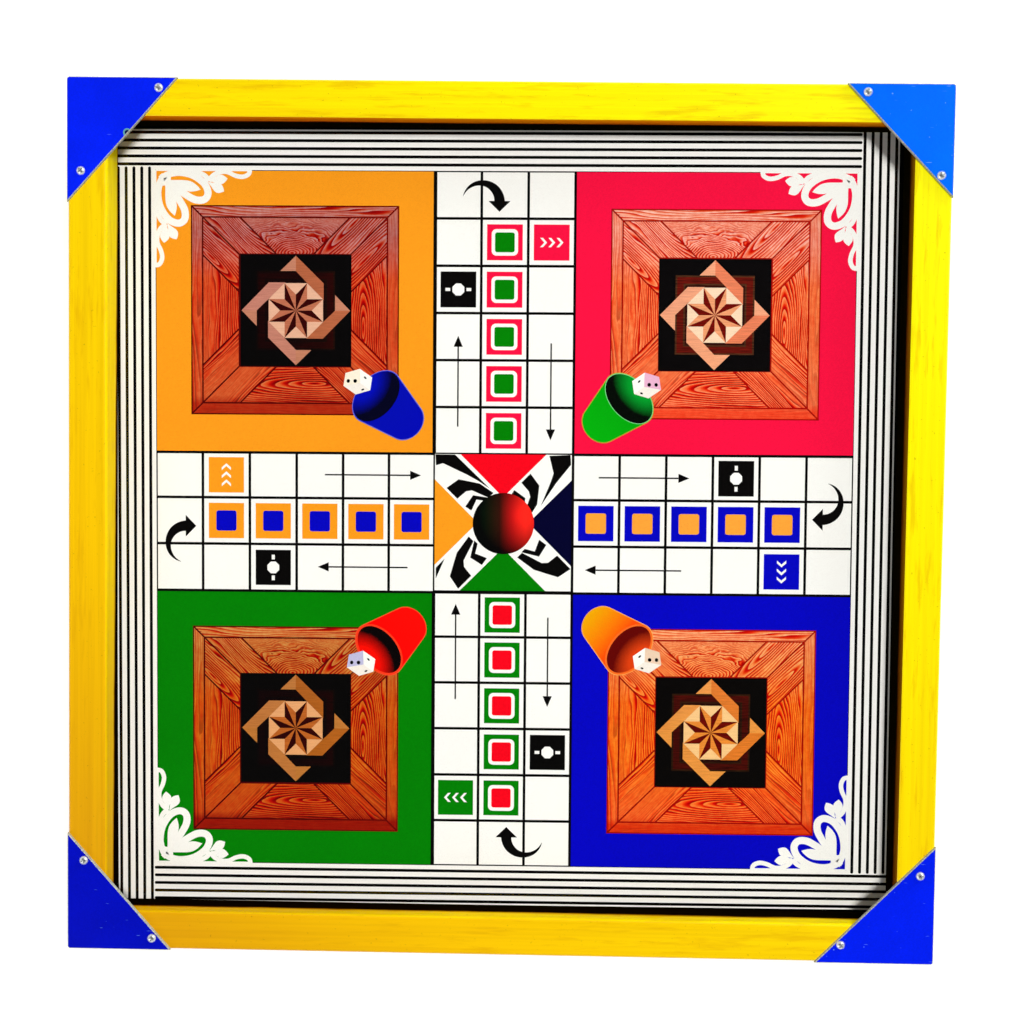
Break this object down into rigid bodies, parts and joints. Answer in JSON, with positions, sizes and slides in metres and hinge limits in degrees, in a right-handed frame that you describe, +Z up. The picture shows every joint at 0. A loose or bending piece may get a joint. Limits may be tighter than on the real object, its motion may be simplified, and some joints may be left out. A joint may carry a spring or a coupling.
{
  "type": "folding ludo board box",
  "caption": "Square wooden game box: glazed ludo board framed as the hinged upper half, storage case below, swing hooks in front, blue corner plates, rubber feet.",
  "frame": {"origin": "middle of the box on the surface that its feet stand on", "axes": "+Z up, out of the playing face; +Y towards the hinges at the back; +X to the player's right"},
  "size_m": [0.61, 0.6236, 0.1114],
  "materials": {
    "painted_rail": "yellow gloss enamel on planed softwood, inner walls of the playing well black",
    "plywood": "three-ply birch sheet, sanded and oiled",
    "print": "colour offset print on card, satin",
    "glass": "clear float glass, polished",
    "plate_laminate": "blue laminate over pale board, sawn edges bare",
    "steel": "zinc-plated steel",
    "brass": "brassed steel, rolled and pressed",
    "rubber": "moulded black rubber, matt"
  },
  "bodies": {
    "case": {"case_rail_front": "painted_rail", "case_rail_back": "painted_rail", "case_rail_left": "painted_rail", "case_rail_right": "painted_rail", "case_floor": "plywood", "case_floor_brads": "steel", "case_frame_brads": "steel", "hinge_leaf_case_left": "brass", "hinge_leaf_case_right": "brass", "hinge_pin_left": "brass", "hinge_pin_right": "brass", "hinge_screws_case": "brass", "catch_pivot_screws": "brass", "catch_washers": "brass", "foot_front_left": "rubber", "foot_back_left": "rubber", "foot_front_right": "rubber", "foot_back_right": "rubber"},
    "board": {"board_rail_front": "painted_rail", "board_rail_back": "painted_rail", "board_rail_left": "painted_rail", "board_rail_right": "painted_rail", "board_panel": "plywood", "printed_sheet": "print", "cover_glass": "glass", "corner_plate_back_left": "plate_laminate", "corner_plate_back_right": "plate_laminate", "corner_plate_front_left": "plate_laminate", "corner_plate_front_right": "plate_laminate", "corner_plate_screws": "steel", "board_frame_brads": "steel", "hinge_leaf_board_left": "brass", "hinge_leaf_board_right": "brass", "hinge_screws_board": "brass", "catch_studs": "brass"},
    "hook_left": {"catch_hook_left": "brass"},
    "hook_right": {"catch_hook_right": "brass"}
  },
  "joints": [
    {"name": "board_fold", "type": "hinge", "parent": "case", "child": "board", "pos_m": [0, 0.3086, 0.05615], "axis": [-1, 0, 0], "range_deg": [0, 180]},
    {"name": "hook_left_swing", "type": "hinge", "parent": "case", "child": "hook_left", "pos_m": [-0.19, -0.305, 0.042], "axis": [0, 1, 0], "range_deg": [-140, 180]},
    {"name": "hook_right_swing", "type": "hinge", "parent": "case", "child": "hook_right", "pos_m": [0.19, -0.305, 0.042], "axis": [0, 1, 0], "range_deg": [-140, 180]}
  ]
}
